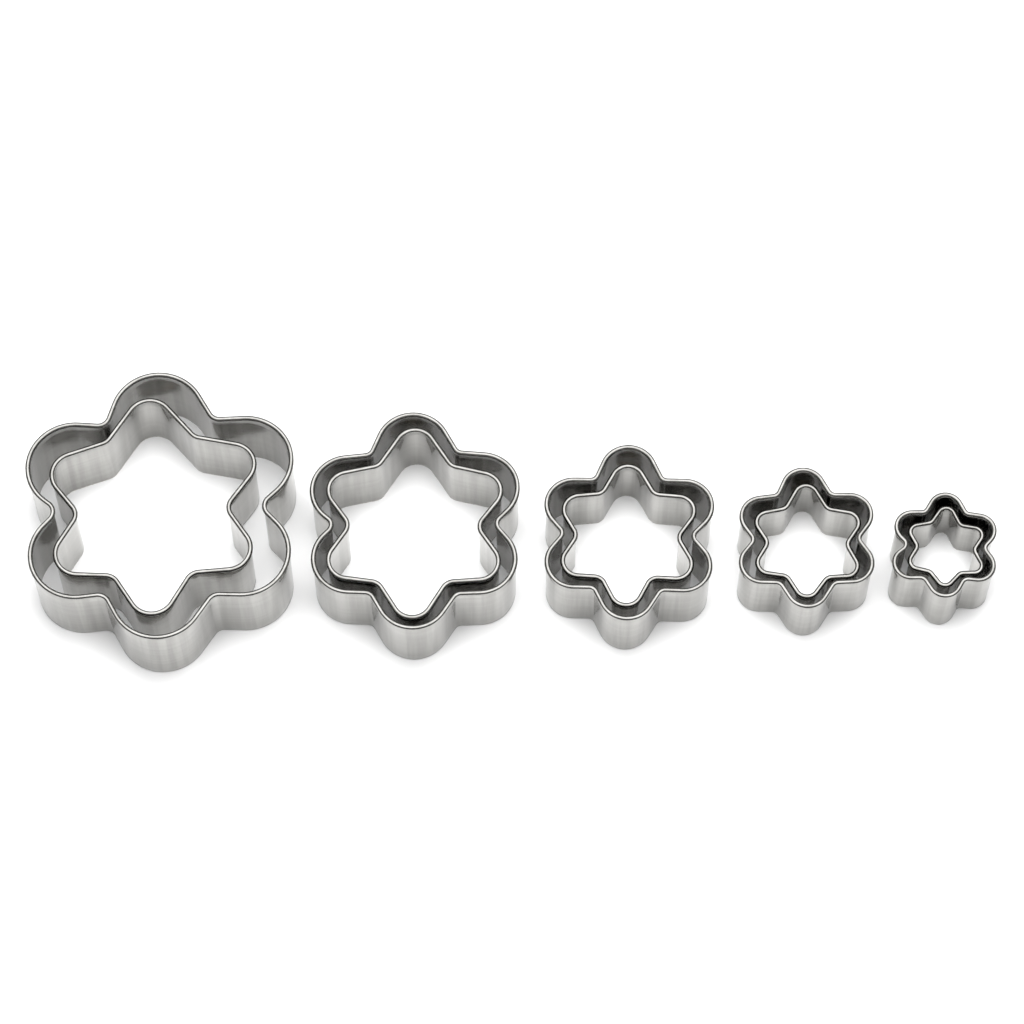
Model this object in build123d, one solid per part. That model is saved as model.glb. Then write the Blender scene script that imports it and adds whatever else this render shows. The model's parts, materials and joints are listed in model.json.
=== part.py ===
from build123d import *
import os
from math import acos, atan2, cos, degrees, hypot, radians, sin

# Ten cookie cutters in five nests: a six-lobed flower with a six-pointed star standing inside it.
# Each cutter is one strip of stainless steel, bent to its outline, with a rolled rim on top,
# a bevelled cutting edge below, and its two ends lapped and spot welded behind the back lobe.
# Lengths are in millimetres. The row runs along X, the largest cutters at -X, and Z is up.

# The strip, the same for all ten cutters.
strip_thickness = 0.35
rim_diameter = 1.3          # the rolled rim, across its round section
rim_slit = 0.12             # between the rolled edge and the wall, on the outer side
edge_land = 0.2             # flat left on the cutting edge
edge_bevel_height = 0.5     # height of the bevel on the outer side of the edge

# The lapped and welded seam.
lap_length = 4.0
lap_drop = 0.6              # from the underside of the rim to the top of the lap
weld_diameter = 1.5
weld_depth = 0.08
weld_spots = 3

# The flowers, from the largest to the smallest. Reaches run from the centre to the middle of the
# strip, at a lobe's crown and at a valley's bottom. Radii are those of the strip's middle too.
flower_reach = [36.8, 29.4, 23.6, 18.8, 14.0]
flower_valley_reach = [27.7, 22.3, 17.7, 14.0, 10.4]
flower_lobe_radius = [11.9, 9.3, 6.9, 5.3, 4.1]
flower_valley_radius = [3.0, 2.3, 2.0, 2.0, 1.7]
flower_height = [25.2, 22.9, 22.2, 20.8, 20.5]
flower_turn = [1.7, 0.4, -1.4, 0.5, -3.0]

# The stars, in the same order.
star_reach = [29.2, 25.2, 19.0, 15.1, 10.8]
star_valley_reach = [21.3, 18.5, 13.8, 11.0, 7.9]
star_lobe_radius = [5.9, 5.1, 4.1, 3.0, 2.15]
star_valley_radius = [3.6, 3.4, 2.8, 2.3, 1.7]
star_height = [23.2, 22.5, 19.7, 17.3, 16.6]
star_turn = [2.7, -0.5, -1.6, -1.3, -3.6]

# The strips are bent by hand, so no outline is quite even. Each row holds six shares of the
# cutter's reach, anticlockwise from the back lobe, or from the valley to the left of it.
flower_lobe_shares = [
    [1.03, 1.00, 0.97, 0.96, 1.00, 1.03],
    [1.05, 0.97, 0.95, 0.97, 0.98, 1.01],
    [1.04, 0.98, 0.96, 0.98, 0.99, 1.01],
    [1.03, 0.95, 0.98, 0.99, 0.99, 1.01],
    [1.03, 0.99, 1.02, 0.98, 0.98, 0.99],
]
flower_valley_shares = [
    [1.01, 0.97, 0.99, 1.02, 0.99, 1.05],
    [1.02, 0.94, 0.99, 1.01, 0.97, 1.05],
    [1.00, 0.95, 0.98, 1.00, 0.96, 1.02],
    [1.01, 0.96, 1.01, 1.02, 0.99, 1.03],
    [1.04, 0.97, 1.03, 1.00, 0.99, 1.05],
]
star_lobe_shares = [
    [1.07, 0.97, 0.94, 0.97, 0.97, 1.03],
    [1.07, 0.98, 0.96, 1.00, 0.97, 0.99],
    [1.04, 0.96, 0.96, 1.00, 0.98, 1.01],
    [1.08, 0.95, 0.93, 0.97, 0.97, 1.00],
    [1.05, 0.95, 0.94, 0.95, 0.98, 0.97],
]
star_valley_shares = [
    [1.08, 0.91, 0.96, 0.97, 0.94, 1.11],
    [1.05, 0.92, 0.99, 0.98, 0.92, 1.06],
    [1.01, 0.96, 0.98, 0.97, 0.98, 1.03],
    [1.03, 0.93, 0.97, 0.99, 0.97, 1.05],
    [1.03, 0.94, 1.00, 1.00, 0.96, 1.00],
]

# How the cutters stand. A gap lies between the rims of two neighbouring flowers, along the row.
row_gap = [4.1, 6.2, 6.0, 4.3]
flower_back_step = [0.0, -3.3, -5.9, -6.5, -8.4]    # a flower's centre, measured from the first one's
star_side_step = [-1.9, 0.2, -0.1, 0.5, 0.5]         # a star's centre, measured from its flower's
star_back_step = [0.2, -0.3, 0.5, 0.1, 1.0]

lobes = 6
pitch = 360 / lobes
rim_radius = rim_diameter / 2


def outward(angle):
    """The direction that lies at this many degrees from +X, seen from above."""
    return Vector(cos(radians(angle)), sin(radians(angle)))


def tangent_angle(lobe, valley, lobe_radius, valley_radius, side):
    """Where the straight stretch from a lobe to a valley leaves the lobe, in degrees."""
    span = valley - lobe
    between = degrees(acos((lobe_radius + valley_radius) / hypot(span.X, span.Y)))
    return degrees(atan2(span.Y, span.X)) - side * between


def turn_between(start, end):
    """The turn from one angle to another, between half a turn back and half a turn on."""
    return (end - start + 180) % 360 - 180


def strip_section(height):
    """The strip cut across: x is outward, y is up, and the cutting edge is at y = 0."""
    inner = -strip_thickness / 2
    outer = strip_thickness / 2
    rim_centre = height - rim_radius
    wall_top = rim_centre - rim_radius + strip_thickness / 2
    wall = make_face(Polyline(
        (inner, 0),
        (inner + edge_land, 0),
        (outer, edge_bevel_height),
        (outer, wall_top),
        (inner, wall_top),
        close=True,
    ))
    roll = Pos(0, rim_centre) * (Circle(rim_radius) - Circle(rim_radius - strip_thickness))
    slit = Pos(outer, rim_centre) * Rectangle(rim_slit, rim_radius, align=(Align.MIN, Align.MAX))
    return (wall + roll - slit).face()


def place_section(section, point, normal):
    """Stand the section at a point of the outline, its x along the outline's outward normal."""
    across = Vector(normal.Y, -normal.X)
    return Plane(origin=point, x_dir=normal, z_dir=across).location * section


def seam(lobe, radius, crown, height):
    """The lap of the strip's outer end over its inner end, with its weld spots pressed in."""
    lap_height = height - rim_diameter - lap_drop
    lap_middle = strip_thickness + strip_thickness / 2
    lap_turn = degrees(lap_length / (radius + lap_middle))
    lap_section = make_face(Polyline(
        (0, 0), (lap_middle, 0), (lap_middle, lap_height), (0, lap_height), close=True,
    ))
    first = outward(crown - lap_turn / 2)
    lap = revolve(
        place_section(lap_section, lobe + first * radius, first), Axis(lobe, (0, 0, 1)),
        revolution_arc=lap_turn,
    )
    spots = []
    for number in range(weld_spots):
        level = lap_height * (number + 1 / 2) / weld_spots
        face_point = lobe + outward(crown) * (radius + lap_middle)
        spot_plane = Plane(origin=(face_point.X, face_point.Y, level), z_dir=-outward(crown))
        spots.append(extrude(spot_plane * Circle(weld_diameter / 2), amount=weld_depth))
    return lap, spots


def cutter(reach, valley_reach, lobe_radius, valley_radius, height, turn, lobe_shares, valley_shares):
    """One cutter standing on Z = 0, with its centre at the origin and its first lobe towards +Y."""
    lobe_centres = []
    valley_centres = []
    for number in range(lobes):
        lobe_angle = 90 + turn + number * pitch
        lobe_centres.append(outward(lobe_angle) * (reach * lobe_shares[number] - lobe_radius))
        valley_distance = valley_reach * valley_shares[number] + valley_radius
        valley_centres.append(outward(lobe_angle + pitch / 2) * valley_distance)

    # Round each lobe, along the straight, round the valley and along the next straight.
    section = strip_section(height)
    stretches = []
    for number in range(lobes):
        following = (number + 1) % lobes
        lobe = lobe_centres[number]
        valley = valley_centres[number]
        next_lobe = lobe_centres[following]
        arrive = tangent_angle(lobe, valley_centres[number - 1], lobe_radius, valley_radius, -1)
        leave = tangent_angle(lobe, valley, lobe_radius, valley_radius, 1)
        leave_valley = tangent_angle(next_lobe, valley, lobe_radius, valley_radius, -1)

        start = place_section(section, lobe + outward(arrive) * lobe_radius, outward(arrive))
        lobe_axis = Axis(lobe, (0, 0, 1))
        stretches.append(revolve(start, lobe_axis, revolution_arc=turn_between(arrive, leave) % 360))

        start = place_section(section, valley - outward(leave) * valley_radius, outward(leave))
        valley_axis = Axis(valley, (0, 0, 1))
        stretches.append(revolve(start, valley_axis, revolution_arc=turn_between(leave, leave_valley)))

        for begin, end, angle in (
            (lobe + outward(leave) * lobe_radius, valley - outward(leave) * valley_radius, leave),
            (valley - outward(leave_valley) * valley_radius,
             next_lobe + outward(leave_valley) * lobe_radius, leave_valley),
        ):
            straight = end - begin
            start = place_section(section, begin, outward(angle))
            stretches.append(extrude(start, amount=straight.length, dir=straight.normalized()))

    lap, spots = seam(lobe_centres[0], lobe_radius, 90 + turn, height)
    return (Part() + stretches + lap - spots).solid()


# Make the cutters nest by nest, each flower set beside the one before it.
pieces = {}
last_edge = None
for nest in range(len(flower_reach)):
    flower = cutter(
        flower_reach[nest], flower_valley_reach[nest], flower_lobe_radius[nest],
        flower_valley_radius[nest], flower_height[nest], flower_turn[nest],
        flower_lobe_shares[nest], flower_valley_shares[nest],
    )
    star = cutter(
        star_reach[nest], star_valley_reach[nest], star_lobe_radius[nest],
        star_valley_radius[nest], star_height[nest], star_turn[nest],
        star_lobe_shares[nest], star_valley_shares[nest],
    )
    reach_left = -flower.bounding_box().min.X
    place = 0 if last_edge is None else last_edge + row_gap[nest - 1] + reach_left
    last_edge = place + flower.bounding_box().max.X
    pieces[f"flower_cutter_{nest + 1}"] = Pos(place, flower_back_step[nest]) * flower
    star_place = Pos(place + star_side_step[nest], flower_back_step[nest] + star_back_step[nest])
    pieces[f"star_cutter_{nest + 1}"] = star_place * star

# The origin is on the table, under the middle of the row.
row_box = Compound(list(pieces.values())).bounding_box()
to_origin = Pos(-row_box.center().X, -row_box.center().Y)

os.makedirs("parts", exist_ok=True)
for name, piece in pieces.items():
    placed = to_origin * piece
    export_step(placed, f"parts/{name}.step")
    box = placed.bounding_box()
    print(f"{name}: {box.size.X:.2f} x {box.size.Y:.2f} x {box.size.Z:.2f} mm, volume {placed.volume:.1f} mm3")
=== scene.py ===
# %% [markdown]
# Ten cookie cutters stand on a white table, in five nests. Each nest is a flower with a star inside it.
# The imported model gives the ten pieces at their real size, and the bodies that move them.
# Blender only dresses them, so the first step loads that model and keeps its box.

# %% Load the imported model
import json
from math import acos, atan2, cos, hypot, pi, radians, sin, tau
import bpy
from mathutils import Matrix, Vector

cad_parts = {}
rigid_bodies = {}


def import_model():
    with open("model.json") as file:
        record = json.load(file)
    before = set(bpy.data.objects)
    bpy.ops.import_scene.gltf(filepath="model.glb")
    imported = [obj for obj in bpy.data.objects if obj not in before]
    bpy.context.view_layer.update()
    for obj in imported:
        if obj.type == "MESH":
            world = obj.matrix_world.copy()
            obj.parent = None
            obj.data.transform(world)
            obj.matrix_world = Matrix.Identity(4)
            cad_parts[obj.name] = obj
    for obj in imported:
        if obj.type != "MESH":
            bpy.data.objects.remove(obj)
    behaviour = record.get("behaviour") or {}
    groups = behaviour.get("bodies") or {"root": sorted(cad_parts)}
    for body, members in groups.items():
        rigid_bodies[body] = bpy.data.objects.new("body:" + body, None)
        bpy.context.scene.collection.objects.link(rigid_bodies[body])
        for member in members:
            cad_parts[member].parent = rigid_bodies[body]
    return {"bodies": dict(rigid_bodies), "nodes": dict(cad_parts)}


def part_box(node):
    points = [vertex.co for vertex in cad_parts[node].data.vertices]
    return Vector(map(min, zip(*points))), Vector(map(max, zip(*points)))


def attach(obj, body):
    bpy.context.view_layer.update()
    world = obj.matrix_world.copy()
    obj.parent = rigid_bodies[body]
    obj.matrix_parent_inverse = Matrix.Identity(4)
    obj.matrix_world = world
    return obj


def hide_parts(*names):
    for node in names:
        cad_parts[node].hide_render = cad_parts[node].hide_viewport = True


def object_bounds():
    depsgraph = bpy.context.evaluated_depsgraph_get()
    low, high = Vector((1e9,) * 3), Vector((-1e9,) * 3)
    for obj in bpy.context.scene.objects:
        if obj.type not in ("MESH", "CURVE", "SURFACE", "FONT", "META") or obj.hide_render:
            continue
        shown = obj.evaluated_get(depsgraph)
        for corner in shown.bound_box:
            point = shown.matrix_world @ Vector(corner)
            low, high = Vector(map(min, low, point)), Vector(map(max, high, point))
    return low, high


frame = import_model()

cad_low, cad_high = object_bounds()
nests = len(frame["bodies"]) // 2
print(f"{len(frame['nodes'])} cutters in {nests} nests, {1000 * (cad_high.x - cad_low.x):.1f} mm long")

# %% [markdown]
# A product shot like this one is taken from high up, so the camera looks down at a steep angle.
# A long lens keeps the nests at both ends of the row almost free of perspective.
# The camera stays square to the row, and only tips down, which keeps the picture's sides upright.

# %% Set up the camera
camera_place = Vector((0.000356, -0.426887, 1.025270))
camera_elevation = radians(67)
camera_lens = 149.08
sensor_width = 36
camera_near = 0.01

bpy.ops.object.camera_add(location=camera_place, rotation=(pi / 2 - camera_elevation, 0, 0))
camera = bpy.context.object
camera.name = "camera"
camera.data.lens = camera_lens
camera.data.sensor_width = sensor_width
camera.data.clip_start = camera_near
bpy.context.scene.camera = camera
print(f"The camera stands {camera_place.length:.2f} m from the row")

# %% [markdown]
# Every cutter is one strip of steel. Its lower edge cuts the dough, and its upper edge is rolled into a
# bead that is safe to press on. The section of the strip is the same on all ten, apart from its height.
# A line is drawn for the skin on the inner side: up the wall and round the bead. Solidify later gives
# it the sheet's thickness, which is quicker than drawing both sides.

# %% The sizes of the strip
strip_thickness = 0.00035
rim_radius = 0.00065
edge_land = 0.0002
edge_bevel_height = 0.0005
roll_sides = 36
roll_gap = (radians(-105), radians(-52))
crease_drop = 0.00012
wall_rows = 8
foot_share = 0.9    # the wall starts below this share of the bead's radius


def deselect_all():
    """Nothing is selected, so the next operator can't touch anything else."""
    bpy.ops.object.select_all(action="DESELECT")


def choose(obj):
    """Select one object alone, and make it the one that operators act on."""
    deselect_all()
    obj.select_set(True)
    bpy.context.view_layer.objects.active = obj


def pick(obj, keep):
    """Select the vertices of obj that keep(place) accepts, in edit mode."""
    bpy.ops.object.mode_set(mode="EDIT")
    bpy.ops.mesh.select_mode(type="VERT")
    bpy.ops.mesh.select_all(action="DESELECT")
    bpy.ops.object.mode_set(mode="OBJECT")
    for vertex in obj.data.vertices:
        vertex.select = keep(vertex.co)
    bpy.ops.object.mode_set(mode="EDIT")


def draw_section(name, height):
    """The strip's inner skin as a line in the XZ plane: x is outward and z is up."""
    deselect_all()
    bead_height = height - rim_radius
    bpy.ops.mesh.primitive_circle_add(
        vertices=roll_sides, radius=rim_radius, location=(0, 0, bead_height), rotation=(pi / 2, 0, 0),
    )
    section = bpy.context.object
    section.name = name
    bpy.ops.object.transform_apply(location=True, rotation=True, scale=True)

    # Open the bead beside the wall, where the rolled edge stops short.
    start, end = roll_gap
    pick(section, lambda place: start < atan2(place.z - bead_height, place.x) < end)
    bpy.ops.mesh.delete(type="VERT")

    # Draw the wall down from the inner end of the bead.
    corner = Vector((rim_radius * cos(start), 0, bead_height + rim_radius * sin(start)))
    pick(section, lambda place: (place - corner).length < rim_radius * tau / roll_sides and place.x < 0
         and place.z < bead_height - rim_radius * foot_share)
    bpy.ops.object.mode_set(mode="OBJECT")
    (last,) = [vertex for vertex in section.data.vertices if vertex.select]
    wall_top = last.co.z - crease_drop
    into_wall = -strip_thickness / 2 - last.co.x
    bpy.ops.object.mode_set(mode="EDIT")
    bpy.ops.mesh.extrude_region_move(TRANSFORM_OT_translate={"value": (into_wall, 0, -crease_drop)})
    row = (wall_top - edge_bevel_height) / wall_rows
    for _ in range(wall_rows):
        bpy.ops.mesh.extrude_region_move(TRANSFORM_OT_translate={"value": (0, 0, -row)})
    bpy.ops.mesh.extrude_region_move(TRANSFORM_OT_translate={"value": (0, 0, -edge_bevel_height)})
    bpy.ops.object.mode_set(mode="OBJECT")
    return section


print(f"The strip is {1000 * strip_thickness:.2f} mm thick, with a bead {2000 * rim_radius:.1f} mm across")

# %% [markdown]
# A maker bends the strip round two sets of pegs: six for the lobes, and six for the valleys between them.
# The pegs are set by hand, so no two lobes reach equally far. Each row of shares below gives one cutter's
# six reaches, anticlockwise from the back lobe, as the picture shows them.

# %% The pegs of each cutter
lobes = 6
pitch = tau / lobes

flower_reach = [0.0368, 0.0294, 0.0236, 0.0188, 0.0140]
flower_valley_reach = [0.0277, 0.0223, 0.0177, 0.0140, 0.0104]
flower_lobe_radius = [0.0119, 0.0093, 0.0069, 0.0053, 0.0041]
flower_valley_radius = [0.0030, 0.0023, 0.0020, 0.0020, 0.0017]
flower_turn = [1.7, 0.4, -1.4, 0.5, -3.0]
star_reach = [0.0292, 0.0252, 0.0190, 0.0151, 0.0108]
star_valley_reach = [0.0213, 0.0185, 0.0138, 0.0110, 0.0079]
star_lobe_radius = [0.0059, 0.0051, 0.0041, 0.0030, 0.00215]
star_valley_radius = [0.0036, 0.0034, 0.0028, 0.0023, 0.0017]
star_turn = [2.7, -0.5, -1.6, -1.3, -3.6]
flower_lobe_shares = [
    [1.03, 1.00, 0.97, 0.96, 1.00, 1.03],
    [1.05, 0.97, 0.95, 0.97, 0.98, 1.01],
    [1.04, 0.98, 0.96, 0.98, 0.99, 1.01],
    [1.03, 0.95, 0.98, 0.99, 0.99, 1.01],
    [1.03, 0.99, 1.02, 0.98, 0.98, 0.99],
]
flower_valley_shares = [
    [1.01, 0.97, 0.99, 1.02, 0.99, 1.05],
    [1.02, 0.94, 0.99, 1.01, 0.97, 1.05],
    [1.00, 0.95, 0.98, 1.00, 0.96, 1.02],
    [1.01, 0.96, 1.01, 1.02, 0.99, 1.03],
    [1.04, 0.97, 1.03, 1.00, 0.99, 1.05],
]
star_lobe_shares = [
    [1.07, 0.97, 0.94, 0.97, 0.97, 1.03],
    [1.07, 0.98, 0.96, 1.00, 0.97, 0.99],
    [1.04, 0.96, 0.96, 1.00, 0.98, 1.01],
    [1.08, 0.95, 0.93, 0.97, 0.97, 1.00],
    [1.05, 0.95, 0.94, 0.95, 0.98, 0.97],
]
star_valley_shares = [
    [1.08, 0.91, 0.96, 0.97, 0.94, 1.11],
    [1.05, 0.92, 0.99, 0.98, 0.92, 1.06],
    [1.01, 0.96, 0.98, 0.97, 0.98, 1.03],
    [1.03, 0.93, 0.97, 0.99, 0.97, 1.05],
    [1.03, 0.94, 1.00, 1.00, 0.96, 1.00],
]


def outward(angle):
    """The direction at this angle from +X, seen from above."""
    return Vector((cos(angle), sin(angle), 0))


def tangent_angle(lobe, valley, reach, side):
    """Where the straight from a lobe to a valley leaves the lobe. reach is both pegs' radii together."""
    span = valley - lobe
    return atan2(span.y, span.x) - side * acos(reach / hypot(span.x, span.y))


def turn_between(start, end):
    """The turn from one angle to another, at most half a turn either way."""
    return (end - start + pi) % tau - pi


def set_pegs(reach, valley_reach, lobe_radius, valley_radius, turn, lobe_shares, valley_shares):
    """The centres of the lobe pegs and the valley pegs, anticlockwise from the back lobe."""
    lobe_pegs, valley_pegs = [], []
    for number in range(lobes):
        angle = pi / 2 + radians(turn) + number * pitch
        lobe_pegs.append(outward(angle) * (reach * lobe_shares[number] - lobe_radius))
        distance = valley_reach * valley_shares[number] + valley_radius
        valley_pegs.append(outward(angle + pitch / 2) * distance)
    return lobe_pegs, valley_pegs


print(f"Each cutter is bent round {2 * lobes} pegs")

# %% [markdown]
# Spin does what bending round a peg does: it turns the section round a point and leaves a surface behind.
# Between the pegs the strip runs straight, and an extrude draws that stretch. After twelve bends the strip
# meets its own start, where the doubled points are merged, and then Solidify makes the skin a sheet. The
# cutting edge is ground thinner, so a vertex group gives that row a smaller share of the thickness.

# %% Bend the strip and give it its thickness
bend_step = radians(5)
merge_distance = strip_thickness / 50


def bend_round(peg, turn):
    """Spin the selected end of the strip round a peg. Spin counts a positive angle clockwise."""
    steps = max(2, round(abs(turn) / bend_step))
    bpy.ops.mesh.spin(steps=steps, angle=-turn, center=peg, axis=(0, 0, 1))


def draw_straight(start, end):
    """Extrude the selected end of the strip from one point of its path to another."""
    bpy.ops.mesh.extrude_region_move(TRANSFORM_OT_translate={"value": end - start})


def bend_strip(section, lobe_pegs, valley_pegs, lobe_radius, valley_radius):
    """Bend the strip round all twelve pegs, until it meets its own start."""
    both = lobe_radius + valley_radius
    arrive = tangent_angle(lobe_pegs[0], valley_pegs[-1], both, -1)
    section.rotation_euler.z = arrive
    section.location = lobe_pegs[0] + outward(arrive) * lobe_radius
    choose(section)
    bpy.ops.object.transform_apply(location=True, rotation=True, scale=True)
    bpy.ops.object.mode_set(mode="EDIT")
    bpy.ops.mesh.select_mode(type="VERT")
    bpy.ops.mesh.select_all(action="SELECT")
    for number in range(lobes):
        lobe, valley = lobe_pegs[number], valley_pegs[number]
        next_lobe = lobe_pegs[(number + 1) % lobes]
        leave = tangent_angle(lobe, valley, both, 1)
        bend_round(lobe, turn_between(arrive, leave) % tau)
        draw_straight(lobe + outward(leave) * lobe_radius, valley - outward(leave) * valley_radius)
        arrive = tangent_angle(next_lobe, valley, both, -1)
        bend_round(valley, turn_between(leave, arrive))
        draw_straight(valley - outward(arrive) * valley_radius, next_lobe + outward(arrive) * lobe_radius)
    bpy.ops.mesh.select_all(action="SELECT")
    bpy.ops.mesh.remove_doubles(threshold=merge_distance)
    bpy.ops.mesh.normals_make_consistent(inside=False)
    bpy.ops.object.mode_set(mode="OBJECT")


def give_thickness(strip):
    """Turn the skin into a sheet, thinner at the cutting edge, where it is ground to a bevel."""
    group = strip.vertex_groups.new(name="sheet")
    for vertex in strip.data.vertices:
        at_edge = vertex.co.z < edge_bevel_height / 2
        group.add([vertex.index], edge_land / strip_thickness if at_edge else 1.0, "REPLACE")
    sheet = strip.modifiers.new("sheet", "SOLIDIFY")
    sheet.thickness = strip_thickness
    sheet.offset = -1
    sheet.use_even_offset = True
    sheet.vertex_group = group.name
    bpy.ops.object.modifier_apply(modifier=sheet.name)


print(f"A bend is drawn in steps of {bend_step / tau * 360:.0f} degrees")

# %% [markdown]
# The two ends of the strip are lapped behind the back lobe and held by three spot welds. The outer end is
# one more layer of sheet, bent round the same peg. A welding electrode leaves a shallow round dent, so one
# point of the lap is pushed in and proportional editing takes its neighbours along.

# %% Lap the ends and press in the weld spots
lap_length = 0.004
lap_drop = 0.0006
lap_columns = 20
lap_rows = 100
lap_sink = 0.00005
weld_spots = 3
weld_radius = 0.00075
weld_depth = 0.00008
lap_face = 1.5 * strip_thickness    # from the middle of the strip to the face of the lap
same_point = 0.00001


def draw_lap(name, lobe, radius, crown, height):
    """The outer end of the strip over the inner end, centred on the crown of the back lobe."""
    face_radius = radius + lap_face
    lap_height = height - 2 * rim_radius - lap_drop
    turn = lap_length / face_radius
    deselect_all()
    bpy.ops.mesh.primitive_plane_add(size=lap_height, rotation=(0, pi / 2, 0))
    lap = bpy.context.object
    lap.name = name
    lap.location = (0, lap_height / 2, lap_height / 2)
    bpy.ops.object.transform_apply(location=True, rotation=True, scale=True)
    pick(lap, lambda place: place.y > lap_height / 2)
    bpy.ops.mesh.delete(type="VERT")
    bpy.ops.mesh.select_all(action="SELECT")
    bpy.ops.mesh.subdivide(number_cuts=lap_rows - 1)
    bpy.ops.object.mode_set(mode="OBJECT")
    lap.rotation_euler.z = crown - turn / 2
    lap.location = lobe + outward(crown - turn / 2) * face_radius
    bpy.ops.object.transform_apply(location=True, rotation=True, scale=True)
    bpy.ops.object.mode_set(mode="EDIT")
    bpy.ops.mesh.select_all(action="SELECT")
    bpy.ops.mesh.spin(steps=lap_columns, angle=-turn, center=lobe, axis=(0, 0, 1))
    bpy.ops.mesh.select_all(action="SELECT")
    bpy.ops.mesh.normals_make_consistent(inside=False)
    bpy.ops.object.mode_set(mode="OBJECT")
    if lap.data.polygons[0].normal.dot(outward(crown)) < 0:
        bpy.ops.object.mode_set(mode="EDIT")
        bpy.ops.mesh.flip_normals()
        bpy.ops.object.mode_set(mode="OBJECT")
    spots = [lobe + outward(crown) * face_radius + Vector((0, 0, lap_height * (number + 0.5) / weld_spots))
             for number in range(weld_spots)]
    return lap, spots


def press_spot(lap, spot, crown):
    """Push the point of the lap that is nearest to the spot, and those round it, into the sheet."""
    nearest = min((vertex.co - spot).length for vertex in lap.data.vertices)
    pick(lap, lambda place: (place - spot).length < nearest + same_point)
    bpy.ops.transform.translate(
        value=outward(crown) * -weld_depth, use_proportional_edit=True,
        proportional_edit_falloff="SHARP", proportional_size=weld_radius,
    )
    bpy.ops.object.mode_set(mode="OBJECT")


def thicken_lap(lap):
    """Give the lap the sheet's thickness, and a little more to sink it into the wall behind."""
    sheet = lap.modifiers.new("sheet", "SOLIDIFY")
    sheet.thickness = strip_thickness + lap_sink
    sheet.offset = -1
    choose(lap)
    bpy.ops.object.modifier_apply(modifier=sheet.name)


print(f"The lap is {1000 * lap_length:.0f} mm long, with {weld_spots} weld spots")

# %% [markdown]
# Two measures are kept on the mesh for the materials to read, so that one material serves all ten cutters:
# how far each point lies below the top of its own bead, which places the painted shade under the bead,
# and how near it is to a weld, where heat has tinted the steel.

# %% Keep measures on the mesh
heat_reach = 0.0022


def keep_measures(strip, height, spots, lobe, radius):
    """Write the two measures as point attributes of the mesh. The heat shows on the outer side only."""
    below_rim = strip.data.attributes.new("below_rim", "FLOAT", "POINT")
    below_rim.data.foreach_set("value", [height - vertex.co.z for vertex in strip.data.vertices])
    heat = []
    for vertex in strip.data.vertices:
        distance = min((vertex.co - spot).length for spot in spots)
        from_axis = hypot(vertex.co.x - lobe.x, vertex.co.y - lobe.y)
        heat.append(max(0.0, 1 - distance / heat_reach) if from_axis > radius else 0.0)
    weld_heat = strip.data.attributes.new("weld_heat", "FLOAT", "POINT")
    weld_heat.data.foreach_set("value", heat)


print(f"A weld tints the steel {1000 * heat_reach:.1f} mm round it")

# %% [markdown]
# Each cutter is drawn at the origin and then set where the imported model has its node, by the middle of its
# box. It rides on the node's body, so it lifts with it, and it stands in for the plain node.

# %% Make one cutter
sharp_angle = radians(40)


def make_cutter(name, body, node, pegs, lobe_radius, valley_radius, turn):
    """Draw, bend, thicken and lap one cutter, and set it in its place."""
    low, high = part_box(node)
    strip = draw_section(name, high.z)
    lobe_pegs, valley_pegs = pegs
    bend_strip(strip, lobe_pegs, valley_pegs, lobe_radius, valley_radius)
    give_thickness(strip)
    crown = pi / 2 + radians(turn)
    lap, spots = draw_lap(name + "_lap", lobe_pegs[0], lobe_radius, crown, high.z)
    for spot in spots:
        press_spot(lap, spot, crown)
    thicken_lap(lap)
    choose(strip)
    lap.select_set(True)
    bpy.ops.object.join()
    bpy.ops.object.shade_smooth_by_angle(angle=sharp_angle)
    keep_measures(strip, high.z, spots, lobe_pegs[0], lobe_radius)

    places = [vertex.co for vertex in strip.data.vertices]
    middle_x = (min(place.x for place in places) + max(place.x for place in places)) / 2
    middle_y = (min(place.y for place in places) + max(place.y for place in places)) / 2
    strip.location = ((low.x + high.x) / 2 - middle_x, (low.y + high.y) / 2 - middle_y, 0)
    bpy.ops.object.transform_apply(location=True, rotation=True, scale=True)
    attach(strip, body)
    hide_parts(node)
    print(f"{name}: {len(strip.data.polygons)} faces, {1000 * strip.dimensions.x:.1f} mm wide")
    return strip


print(f"Edges of more than {sharp_angle / tau * 360:.0f} degrees stay sharp")

# %% Bend the ten cutters
cutters = []
for nest in range(nests):
    pegs = set_pegs(
        flower_reach[nest], flower_valley_reach[nest], flower_lobe_radius[nest], flower_valley_radius[nest],
        flower_turn[nest], flower_lobe_shares[nest], flower_valley_shares[nest],
    )
    cutters.append(make_cutter(
        f"flower_strip_{nest + 1}", f"flower_{nest + 1}", f"flower_cutter_{nest + 1}", pegs,
        flower_lobe_radius[nest], flower_valley_radius[nest], flower_turn[nest],
    ))
    pegs = set_pegs(
        star_reach[nest], star_valley_reach[nest], star_lobe_radius[nest], star_valley_radius[nest],
        star_turn[nest], star_lobe_shares[nest], star_valley_shares[nest],
    )
    cutters.append(make_cutter(
        f"star_strip_{nest + 1}", f"star_{nest + 1}", f"star_cutter_{nest + 1}", pegs,
        star_lobe_radius[nest], star_valley_radius[nest], star_turn[nest],
    ))

# %% [markdown]
# Rolled stainless sheet isn't a perfect mirror. The rolls leave a fine grain along the strip. Here the
# grain is noise that is squeezed from top to bottom, so its specks draw out into lines along the strip.
# It is a node group, because the wall, the bead and the ground edge all show it, each in its own strength.

# %% A group for the rolled grain
per_metre = 1000.0
grain_along = 0.02
bands_along, bands_upward = 12.0, 900.0


def socket(tree, name, into=True):
    """One named number that goes into a node group or comes out of it."""
    tree.interface.new_socket(
        name=name, in_out="INPUT" if into else "OUTPUT", socket_type="NodeSocketFloat",
    )


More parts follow.
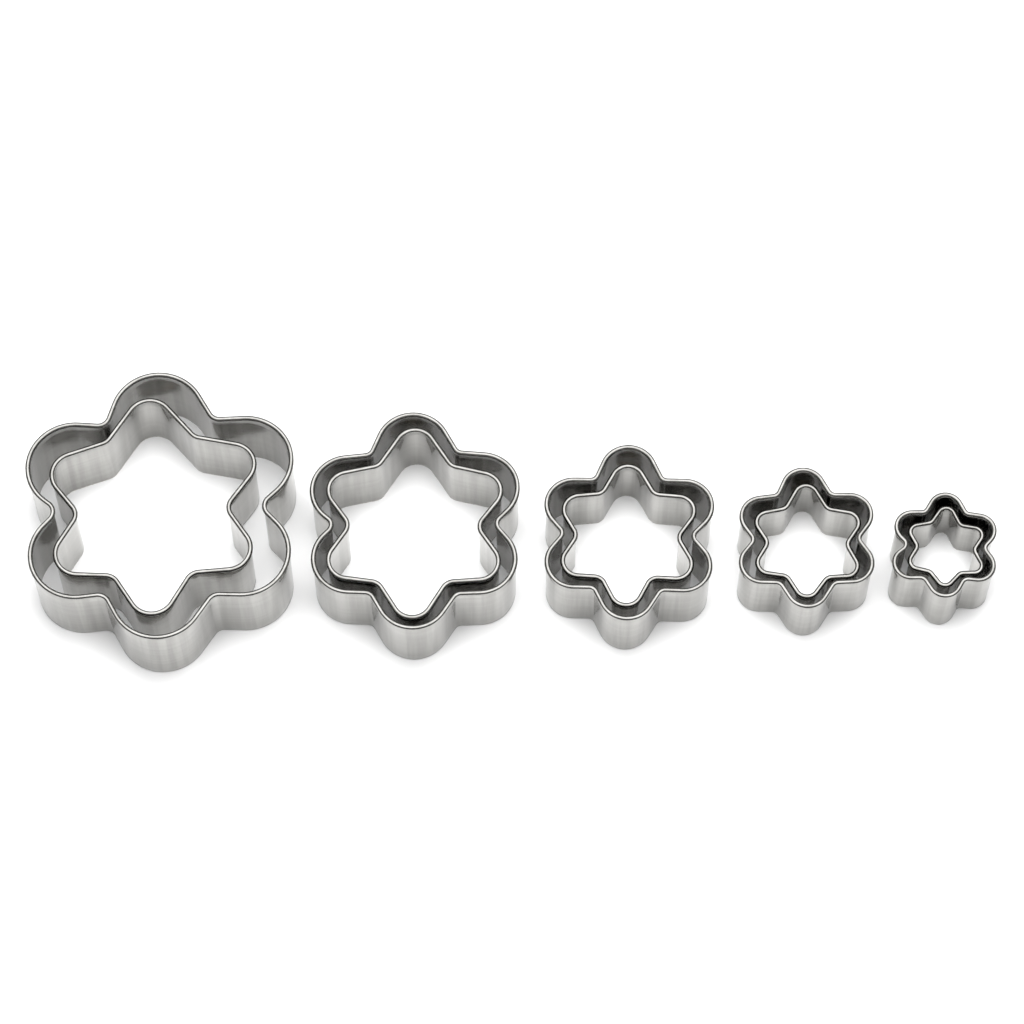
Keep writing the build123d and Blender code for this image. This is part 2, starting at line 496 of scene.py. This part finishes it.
def join_nodes(tree, source, target):
    """Link the output of one node to the input of another."""
    tree.links.new(source, target)


def add_math(tree, operation, first, second=None, clamp=False):
    """A math node. Each side is a number or the output of another node."""
    node = tree.nodes.new("ShaderNodeMath")
    node.operation = operation
    node.use_clamp = clamp
    for number, side in enumerate((first, second)):
        if side is None:
            continue
        if isinstance(side, (int, float)):
            node.inputs[number].default_value = side
        else:
            tree.links.new(side, node.inputs[number])
    return node.outputs[0]


def add_noise(tree, vector, scale, detail=2.0, roughness=0.5):
    """A noise texture on the given coordinates."""
    node = tree.nodes.new("ShaderNodeTexNoise")
    node.inputs["Detail"].default_value = detail
    node.inputs["Roughness"].default_value = roughness
    tree.links.new(vector, node.inputs["Vector"])
    if isinstance(scale, (int, float)):
        node.inputs["Scale"].default_value = scale
    else:
        tree.links.new(scale, node.inputs["Scale"])
    return node.outputs["Fac"]


def add_vector_math(tree, operation, vector, other=(0, 0, 0)):
    """A vector math node, on the output of another node and on a fixed vector."""
    node = tree.nodes.new("ShaderNodeVectorMath")
    node.operation = operation
    node.inputs[1].default_value = other
    tree.links.new(vector, node.inputs[0])
    return node


def stretch(tree, along, upward):
    """Object coordinates, scaled along the table and upward."""
    place = tree.nodes.new("ShaderNodeTexCoord")
    return add_vector_math(tree, "MULTIPLY", place.outputs["Object"], (along, along, upward)).outputs[0]


rolled_grain = bpy.data.node_groups.new("rolled_grain", "ShaderNodeTree")
socket(rolled_grain, "Lines per millimetre")
socket(rolled_grain, "Grain", into=False)
socket(rolled_grain, "Bands", into=False)
group_in = rolled_grain.nodes.new("NodeGroupInput")
group_out = rolled_grain.nodes.new("NodeGroupOutput")
grain_scale = add_math(rolled_grain, "MULTIPLY", group_in.outputs[0], per_metre)
drawn_out = stretch(rolled_grain, grain_along, 1.0)
fine = add_noise(rolled_grain, drawn_out, grain_scale, detail=3.0, roughness=0.7)
join_nodes(rolled_grain, fine, group_out.inputs["Grain"])
bands = add_noise(rolled_grain, stretch(rolled_grain, bands_along, bands_upward), 1.0, detail=2.0)
join_nodes(rolled_grain, bands, group_out.inputs["Bands"])
print(f"{rolled_grain.name}: {len(rolled_grain.nodes)} nodes")

# %% [markdown]
# Pressing the strip round the pegs leaves soft upright marks: the wall is never quite flat between two
# bends, and its reflections swell and shrink along it. Noise squeezed the other way draws these marks.
# Fingers and the dough leave a dull film and short scratches on top.

# %% Groups for the bend marks and for handling
swell_upward = 0.12
streak_upward = 0.04
streaks_to_mark = 3.5
film_per_metre = 260.0
scratch_along, scratch_upward = 260.0, 2600.0
scratch_level = 0.62
scratch_contrast = 8.0

bend_marks = bpy.data.node_groups.new("bend_marks", "ShaderNodeTree")
socket(bend_marks, "Marks per metre")
socket(bend_marks, "Swell", into=False)
socket(bend_marks, "Streak", into=False)
group_in = bend_marks.nodes.new("NodeGroupInput")
group_out = bend_marks.nodes.new("NodeGroupOutput")
swell = add_noise(bend_marks, stretch(bend_marks, 1.0, swell_upward), group_in.outputs[0], detail=1.0)
join_nodes(bend_marks, swell, group_out.inputs["Swell"])
streak_scale = add_math(bend_marks, "MULTIPLY", group_in.outputs[0], streaks_to_mark)
upright = stretch(bend_marks, 1.0, streak_upward)
streak = add_noise(bend_marks, upright, streak_scale, detail=3.0, roughness=0.6)
join_nodes(bend_marks, streak, group_out.inputs["Streak"])

handling = bpy.data.node_groups.new("handling", "ShaderNodeTree")
socket(handling, "Film", into=False)
socket(handling, "Scratches", into=False)
group_out = handling.nodes.new("NodeGroupOutput")
film = add_noise(handling, stretch(handling, 1.0, 1.0), film_per_metre, detail=4.0, roughness=0.65)
join_nodes(handling, film, group_out.inputs["Film"])
scuffs = add_noise(handling, stretch(handling, scratch_along, scratch_upward), 1.0, detail=2.0, roughness=0.8)
scuffs = add_math(handling, "SUBTRACT", scuffs, scratch_level, clamp=True)
scratches = add_math(handling, "MULTIPLY", scuffs, scratch_contrast, clamp=True)
join_nodes(handling, scratches, group_out.inputs["Scratches"])
print(f"{bend_marks.name}: {len(bend_marks.nodes)} nodes, {handling.name}: {len(handling.nodes)} nodes")

# %% [markdown]
# The steel itself is a grey metal with a slightly warm tone. Its colour is darkened in the crease under the
# bead as painted shade, and it is straw to brown round the welds. The grain lies along the strip, so
# reflections blur upward more than sideways, which the anisotropy of the shader gives.

# %% Helpers for the materials
mix_colours = (6, 7)    # the two colour inputs of a Mix node
mix_result = 2
along_the_strip = 0.25


def add_group(tree, group, **values):
    """Place a node group in a material, with its own values."""
    node = tree.nodes.new("ShaderNodeGroup")
    node.node_tree = group
    for name, value in values.items():
        node.inputs[name.replace("_", " ")].default_value = value
    return node


def add_measure(tree, name):
    """Read one of the measures that are kept on the mesh."""
    node = tree.nodes.new("ShaderNodeAttribute")
    node.attribute_name = name
    return node.outputs["Fac"]


def add_range(tree, value, low, high, to_low, to_high, smooth=True):
    """Map a value from one range to another."""
    node = tree.nodes.new("ShaderNodeMapRange")
    node.interpolation_type = "SMOOTHSTEP" if smooth else "LINEAR"
    tree.links.new(value, node.inputs["Value"])
    for name, number in zip(("From Min", "From Max", "To Min", "To Max"), (low, high, to_low, to_high)):
        node.inputs[name].default_value = number
    return node.outputs["Result"]


def add_blend(tree, factor, first, second, how="MIX"):
    """Blend two colours, each a triple or an output, by a factor."""
    node = tree.nodes.new("ShaderNodeMix")
    node.data_type = "RGBA"
    node.blend_type = how
    for number, side in zip(mix_colours, (first, second)):
        if isinstance(side, tuple):
            node.inputs[number].default_value = (*side, 1)
        else:
            tree.links.new(side, node.inputs[number])
    if isinstance(factor, (int, float)):
        node.inputs[0].default_value = factor
    else:
        tree.links.new(factor, node.inputs[0])
    return node.outputs[mix_result]


def add_share(tree, value, other, share, operation="ADD"):
    """Add a share of another value, or take it away."""
    return add_math(tree, operation, value, add_math(tree, "MULTIPLY", other, share))


def start_steel(name, anisotropic):
    """A metal with the strip's own direction as its tangent."""
    material = bpy.data.materials.new(name)
    material.use_nodes = True
    tree = material.node_tree
    shader = tree.nodes["Principled BSDF"]
    shader.inputs["Metallic"].default_value = 1.0
    shader.inputs["Anisotropic"].default_value = anisotropic
    shader.inputs["Anisotropic Rotation"].default_value = along_the_strip
    tangent = tree.nodes.new("ShaderNodeTangent")
    tangent.direction_type = "RADIAL"
    tangent.axis = "Z"
    tree.links.new(tangent.outputs[0], shader.inputs["Tangent"])
    return material, tree, shader


def add_relief(tree, shader, height, depth):
    """Bump the surface by a height from 0 to 1, depth metres deep."""
    bump = tree.nodes.new("ShaderNodeBump")
    bump.inputs["Strength"].default_value = 1.0    # the depth alone says how strong it is
    bump.inputs["Distance"].default_value = depth
    tree.links.new(height, bump.inputs["Height"])
    tree.links.new(bump.outputs["Normal"], shader.inputs["Normal"])


print("The helpers for materials are ready")

# %% A material for the wall
steel_light = (0.45, 0.444, 0.427)
steel_dark = (0.36, 0.355, 0.339)
# Painted shade under the bead: this near-black grey darkens the wall in the crease below it.
crease_shade_grey = (0.10, 0.097, 0.09)
heat_straw = (0.42, 0.35, 0.25)
heat_brown = (0.20, 0.16, 0.14)
narrow_noise, wide_noise, film_noise = (0.35, 0.65), (0.3, 0.7), (0.35, 0.7)    # where each noise is spread
band_tones = (0.95, 1.03)
# Where the painted shade under the bead fades out, and how strongly it darkens the wall.
crease_shade_fade, crease_shade_strength = (0.0012, 0.0024), 0.75    # metres below the top of the bead
straw_ring, straw_strength = (0.15, 0.6), 0.7
brown_ring, brown_strength = (0.62, 0.72), 0.85
weld_face = (0.78, 0.9)
wall_roughness, grain_roughness = (0.08, 0.14), 0.04
grain_relief, scratch_relief, wall_depth = 0.004, 0.01, 0.0002

wall_steel, tree, shader = start_steel("rolled_steel_wall", 0.12)
grain = add_group(tree, rolled_grain, Lines_per_millimetre=8.0)
marks = add_group(tree, bend_marks, Marks_per_metre=110.0)
wear = add_group(tree, handling)
tone = add_range(tree, marks.outputs["Streak"], *narrow_noise, 0.0, 1.0)
colour = add_blend(tree, tone, steel_dark, steel_light)
grain_tone = add_range(tree, grain.outputs["Bands"], *wide_noise, *band_tones)
colour = add_blend(tree, 1.0, colour, grain_tone, how="MULTIPLY")
# Painted shade: the wall just under the bead is darkened towards near-black.
crease_shade = add_range(tree, add_measure(tree, "below_rim"), *crease_shade_fade, crease_shade_strength, 0.0)
colour = add_blend(tree, crease_shade, colour, crease_shade_grey)
heat = add_measure(tree, "weld_heat")
colour = add_blend(tree, add_range(tree, heat, *straw_ring, 0.0, straw_strength), colour, heat_straw)
colour = add_blend(tree, add_range(tree, heat, *brown_ring, 0.0, brown_strength), colour, heat_brown)
colour = add_blend(tree, add_range(tree, heat, *weld_face, 0.0, 1.0), colour, steel_dark)
join_nodes(tree, colour, shader.inputs["Base Color"])
gloss = add_range(tree, wear.outputs["Film"], *film_noise, *wall_roughness)
gloss = add_share(tree, gloss, grain.outputs["Grain"], grain_roughness)
join_nodes(tree, gloss, shader.inputs["Roughness"])
relief = add_share(tree, marks.outputs["Swell"], grain.outputs["Grain"], grain_relief)
relief = add_share(tree, relief, wear.outputs["Scratches"], scratch_relief, "SUBTRACT")
add_relief(tree, shader, relief, wall_depth)
print(f"{wall_steel.name}: {len(tree.nodes)} nodes")

# %% [markdown]
# The bead is burnished by the rolling tool and by the hands that press on it, so it shows no marks from the
# bending. The cutting edge is ground after rolling: it is bright, rough, and worn unevenly, because it stands
# on the board.

# %% A material for the bead
bead_roughness, scratch_roughness = (0.10, 0.18), 0.12
bead_grain, bead_scratches, bead_depth = 0.2, 0.5, 0.000004

bead_steel, tree, shader = start_steel("burnished_bead", 0.2)
grain = add_group(tree, rolled_grain, Lines_per_millimetre=12.0)
wear = add_group(tree, handling)
tone = add_range(tree, wear.outputs["Film"], *narrow_noise, 0.0, 1.0)
colour = add_blend(tree, tone, steel_light, steel_dark)
join_nodes(tree, colour, shader.inputs["Base Color"])
gloss = add_range(tree, wear.outputs["Film"], *wide_noise, *bead_roughness)
gloss = add_share(tree, gloss, wear.outputs["Scratches"], scratch_roughness)
join_nodes(tree, gloss, shader.inputs["Roughness"])
relief = add_math(tree, "MULTIPLY", grain.outputs["Grain"], bead_grain)
relief = add_share(tree, relief, wear.outputs["Scratches"], bead_scratches, "SUBTRACT")
add_relief(tree, shader, relief, bead_depth)
print(f"{bead_steel.name}: {len(tree.nodes)} nodes")

# %% A material for the cutting edge
edge_light, edge_dark = (0.60, 0.592, 0.57), (0.38, 0.372, 0.352)
edge_roughness = (0.24, 0.42)
edge_depth = 0.00001

edge_steel, tree, shader = start_steel("ground_edge", 0.0)
grain = add_group(tree, rolled_grain, Lines_per_millimetre=16.0)
marks = add_group(tree, bend_marks, Marks_per_metre=900.0)
wear = add_group(tree, handling)
tone = add_range(tree, marks.outputs["Streak"], *narrow_noise, 0.0, 1.0)
colour = add_blend(tree, tone, edge_light, edge_dark)
join_nodes(tree, colour, shader.inputs["Base Color"])
gloss = add_range(tree, wear.outputs["Film"], *wide_noise, *edge_roughness)
join_nodes(tree, gloss, shader.inputs["Roughness"])
relief = add_math(tree, "ADD", marks.outputs["Streak"], grain.outputs["Grain"])
add_relief(tree, shader, relief, edge_depth)
print(f"{edge_steel.name}: {len(tree.nodes)} nodes")

# %% [markdown]
# Three materials share each cutter. The faces are sorted by height: the bead on top, the ground edge at the
# foot, and the wall between them.

# %% Give the cutters their materials
wall_slot, bead_slot, edge_slot = range(3)
for cutter in cutters:
    mesh = cutter.data
    mesh.materials.clear()
    for material in (wall_steel, bead_steel, edge_steel):
        mesh.materials.append(material)
    top = max(vertex.co.z for vertex in mesh.vertices)
    for face in mesh.polygons:
        if face.center.z > top - 2 * rim_radius:
            face.material_index = bead_slot
        elif face.center.z < edge_bevel_height:
            face.material_index = edge_slot
        else:
            face.material_index = wall_slot
print(f"{len(cutters)} cutters wear {wall_steel.name}, {bead_steel.name} and {edge_steel.name}")

# %% [markdown]
# The table is a plain white sheet. Polished steel mirrors everything round it, so what lies beyond the
# sheet matters. The dark outlines of the beads say that the sheet ends near the cutters and that the room
# beyond it is dark. The table's material turns dark there, but only for mirrored rays, as painted shade in
# the steel's reflections; on the sheet itself mirrored rays see it a tenth darker, also painted shade.

# %% The table
table_size = 6
table_white, table_roughness = 0.9, 0.9
# Painted shade in the steel's reflections: mirrored rays see this near-black beyond the sheet.
mirrored_shade_black = 0.01
sheet_margin = 0.045
sheet_fade = 0.03
# The share of that near-black that mirrored rays see on the sheet itself, a painted shade too.
mirrored_sheet_shade = 0.1

bpy.ops.mesh.primitive_plane_add(size=table_size)
table = bpy.context.object
table.name = "table"
white = bpy.data.materials.new("white_table")
white.use_nodes = True
tree = white.node_tree
paint = tree.nodes["Principled BSDF"]
paint.inputs["Base Color"].default_value = (table_white, table_white, table_white, 1)
paint.inputs["Roughness"].default_value = table_roughness
paint.inputs["Specular IOR Level"].default_value = 0.0
table.data.materials.append(white)

place = tree.nodes.new("ShaderNodeTexCoord").outputs["Object"]
side = add_vector_math(tree, "ABSOLUTE", place).outputs[0]
over = add_vector_math(tree, "SUBTRACT", side, (cad_high.x, cad_high.y, 0)).outputs[0]
outside = add_vector_math(tree, "MAXIMUM", over).outputs[0]
distance = add_vector_math(tree, "LENGTH", outside).outputs["Value"]
fade_end = sheet_margin + sheet_fade
fade = add_range(tree, distance, sheet_margin, fade_end, mirrored_sheet_shade, 1.0, smooth=False)
path = tree.nodes.new("ShaderNodeLightPath")
dark = tree.nodes.new("ShaderNodeBsdfDiffuse")
dark.inputs["Color"].default_value = (mirrored_shade_black, mirrored_shade_black, mirrored_shade_black, 1)
mix = tree.nodes.new("ShaderNodeMixShader")
# Painted shade in reflections: only mirrored rays see the table turn dark.
join_nodes(tree, add_math(tree, "MULTIPLY", fade, path.outputs["Is Glossy Ray"]), mix.inputs["Fac"])
join_nodes(tree, paint.outputs["BSDF"], mix.inputs[1])
join_nodes(tree, dark.outputs["BSDF"], mix.inputs[2])
join_nodes(tree, mix.outputs[0], tree.nodes["Material Output"].inputs["Surface"])
print(f"The sheet ends {1000 * sheet_margin:.0f} mm from the row")

# %% [markdown]
# Two soft lights hang above the table. A wide, dim one is what the steel mirrors: it draws the bright line
# along each bead. A smaller, stronger one lights the white sheet down to the floor of the narrow gaps
# between the cutters, and the steel doesn't show it.

# %% The lights
light_height = 1.6
room_grey = 0.21


def hang_light(name, back, tip, size, power):
    """A square soft light that hangs above the table, a little to the back, tipped towards the row."""
    bpy.ops.object.light_add(type="AREA", location=(0, back, light_height), rotation=(radians(tip), 0, 0))
    light = bpy.context.object
    light.name = name
    light.data.shape = "SQUARE"
    light.data.size = size
    light.data.energy = power
    return light


softbox = hang_light("softbox", back=0.2, tip=-8, size=2.24, power=31)
softbox.visible_diffuse = False
sheet_light = hang_light("sheet_light", back=0.12, tip=-4, size=1.15, power=47)
sheet_light.visible_glossy = False

world = bpy.data.worlds.new("studio")
bpy.context.scene.world = world
world.use_nodes = True
background = world.node_tree.nodes["Background"]
background.inputs["Color"].default_value = (room_grey, room_grey, room_grey, 1)
background.inputs["Strength"].default_value = 1.0
bpy.context.scene.view_settings.view_transform = "Standard"
print(f"The softbox is {softbox.data.size:.2f} m wide, the sheet light {sheet_light.data.size:.2f} m")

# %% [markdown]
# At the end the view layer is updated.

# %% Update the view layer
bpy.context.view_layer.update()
